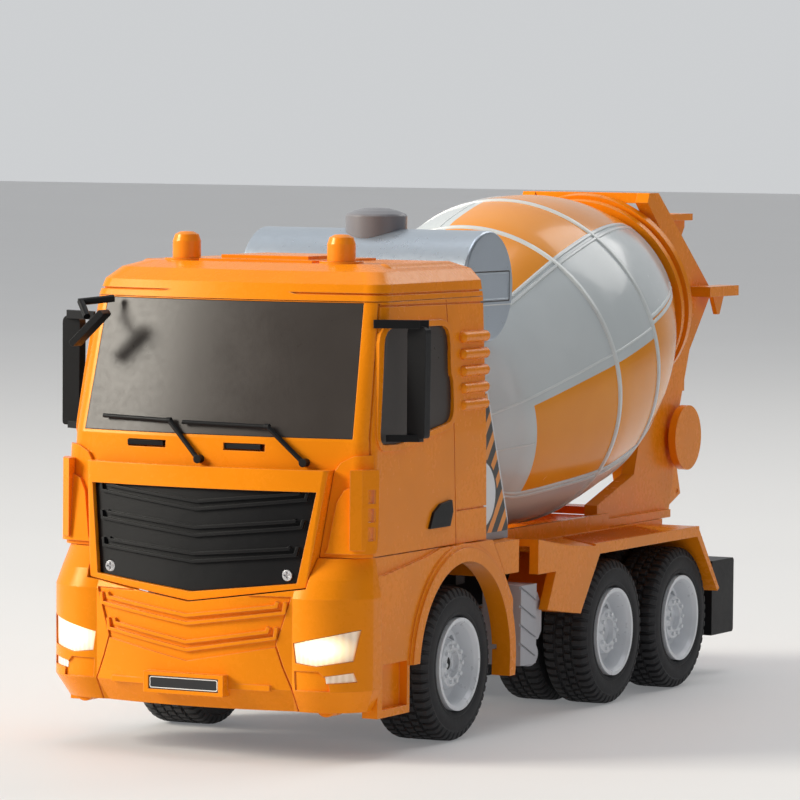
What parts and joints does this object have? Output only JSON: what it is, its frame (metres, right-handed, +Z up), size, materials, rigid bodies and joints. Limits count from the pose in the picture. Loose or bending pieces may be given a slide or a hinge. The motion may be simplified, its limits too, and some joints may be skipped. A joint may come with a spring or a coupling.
{
  "type": "toy cement mixer truck",
  "caption": "Toy cement mixer truck with a turning drum, steering front wheels, tandem rear axles and a swivelling folding discharge chute.",
  "frame": {"origin": "on the ground, under the middle of the truck's bounding box", "axes": "+Z up; +Y from nose to tail along the truck; +X towards the truck's left side"},
  "size_m": [0.1576, 0.4366, 0.2097],
  "materials": {
    "orange_plastic": "glossy moulded orange plastic",
    "beacon_orange": "glossy orange plastic",
    "black_plastic": "black moulded plastic, satin",
    "tinted_panel": "dark tinted panel, satin",
    "drum_white": "pale grey-white plastic with printed orange fields",
    "silver_plastic": "silver sprayed plastic",
    "grey_plastic": "mid-grey plastic, satin",
    "rim_grey": "silver-grey plastic",
    "tyre_rubber": "soft black tyre compound",
    "steel": "bright steel",
    "gear_plastic": "natural nylon",
    "lamp_clear": "clear lens over a white reflector",
    "lamp_red": "red lens",
    "hazard_label": "printed black and orange stripes with a white border",
    "battery_wrap": "blue shrink wrap",
    "board_green": "green circuit board"
  },
  "bodies": {
    "truck": {"chassis_frame": "black_plastic", "drive_motor": "steel", "gearbox_cover": "black_plastic", "battery_pack": "battery_wrap", "circuit_board": "board_green", "steering_servo": "black_plastic", "cab_shell": "orange_plastic", "windshield": "tinted_panel", "side_windows": "tinted_panel", "roof_panel": "orange_plastic", "beacons": "beacon_orange", "grille_surround": "orange_plastic", "grille": "black_plastic", "grille_screws": "steel", "front_bumper": "orange_plastic", "number_plate": "black_plastic", "headlights": "lamp_clear", "fog_lights": "lamp_clear", "door_handles": "black_plastic", "wipers": "black_plastic", "deflectors": "orange_plastic", "mirrors": "black_plastic", "front_fenders": "orange_plastic", "water_tank": "silver_plastic", "tank_cap": "silver_plastic", "drum_cradle": "orange_plastic", "hazard_panels": "hazard_label", "drum_motor": "steel", "rear_frame": "orange_plastic", "side_discs": "orange_plastic", "hopper": "orange_plastic", "discharge_trough": "orange_plastic", "rear_deck": "orange_plastic", "battery_box": "grey_plastic", "air_tank": "grey_plastic", "fuel_tank": "grey_plastic", "rear_bumper": "black_plastic", "tail_lights": "lamp_red"},
    "steer_left": {"knuckle_left": "black_plastic"},
    "steer_right": {"knuckle_right": "black_plastic"},
    "wheel_front_left": {"rim_front_left": "rim_grey", "tyre_front_left": "tyre_rubber"},
    "wheel_front_right": {"rim_front_right": "rim_grey", "tyre_front_right": "tyre_rubber"},
    "track_rod": {"tie_rod": "black_plastic"},
    "axle_set_mid": {"axle_mid": "steel", "rims_mid": "rim_grey", "tyres_mid": "tyre_rubber", "axle_gear": "gear_plastic"},
    "axle_set_rear": {"axle_rear": "steel", "rims_rear": "rim_grey", "tyres_rear": "tyre_rubber"},
    "motor_shaft": {"drive_pinion": "gear_plastic"},
    "drum": {"drum_shell": "drum_white", "mixing_paddles": "drum_white", "drum_gear": "gear_plastic"},
    "drum_motor_shaft": {"drum_pinion": "gear_plastic"},
    "chute_main": {"chute": "orange_plastic"},
    "chute_flap": {"chute_extension": "orange_plastic"},
    "switch_knob": {"power_switch": "black_plastic"}
  },
  "joints": [
    {"name": "steer_left_turn", "type": "hinge", "parent": "truck", "child": "steer_left", "pos_m": [0.033, -0.1153, 0.03], "axis": [0, 0, 1], "range_deg": [-20, 20]},
    {"name": "steer_right_turn", "type": "hinge", "parent": "truck", "child": "steer_right", "pos_m": [-0.033, -0.1153, 0.03], "axis": [0, 0, 1], "range_deg": [-20, 20]},
    {"name": "track_rod_slide", "type": "slide", "parent": "truck", "child": "track_rod", "axis": [1, 0, 0], "range_m": [-0.005, 0.005]},
    {"name": "front_left_spin", "type": "hinge", "parent": "steer_left", "child": "wheel_front_left", "pos_m": [0.05, -0.1153, 0.03], "axis": [1, 0, 0], "continuous": true},
    {"name": "front_right_spin", "type": "hinge", "parent": "steer_right", "child": "wheel_front_right", "pos_m": [-0.05, -0.1153, 0.03], "axis": [1, 0, 0], "continuous": true},
    {"name": "mid_axle_spin", "type": "hinge", "parent": "truck", "child": "axle_set_mid", "pos_m": [0, 0.0311, 0.03], "axis": [1, 0, 0], "continuous": true},
    {"name": "rear_axle_spin", "type": "hinge", "parent": "truck", "child": "axle_set_rear", "pos_m": [0, 0.0998, 0.03], "axis": [1, 0, 0], "continuous": true},
    {"name": "drive_motor_spin", "type": "hinge", "parent": "truck", "child": "motor_shaft", "pos_m": [0, 0.0167, 0.03], "axis": [1, 0, 0], "continuous": true},
    {"name": "drum_spin", "type": "hinge", "parent": "truck", "child": "drum", "pos_m": [0, -0.019, 0.11966], "axis": [0, 0.9668, 0.2554], "continuous": true},
    {"name": "drum_motor_spin", "type": "hinge", "parent": "truck", "child": "drum_motor_shaft", "pos_m": [0, -0.05011, 0.08082], "axis": [0, 0.9668, 0.2554], "continuous": true},
    {"name": "chute_swivel", "type": "hinge", "parent": "truck", "child": "chute_main", "pos_m": [0, 0.186, 0.106], "axis": [0, 0, 1], "range_deg": [-45, 45]},
    {"name": "chute_unfold", "type": "hinge", "parent": "chute_main", "child": "chute_flap", "pos_m": [0, 0.21402, 0.07492], "axis": [-1, 0, 0], "range_deg": [0, 170]},
    {"name": "power_switch_slide", "type": "slide", "parent": "truck", "child": "switch_knob", "axis": [0, 1, 0], "range_m": [0, 0.0028]}
  ],
  "couplings": [
    {"joint": "steer_right_turn", "follows": "steer_left_turn", "ratio": 1},
    {"joint": "track_rod_slide", "follows": "steer_left_turn", "m_per_rad": -0.014},
    {"joint": "drive_motor_spin", "follows": "mid_axle_spin", "ratio": -2},
    {"joint": "drum_motor_spin", "follows": "drum_spin", "ratio": -4.2857}
  ]
}
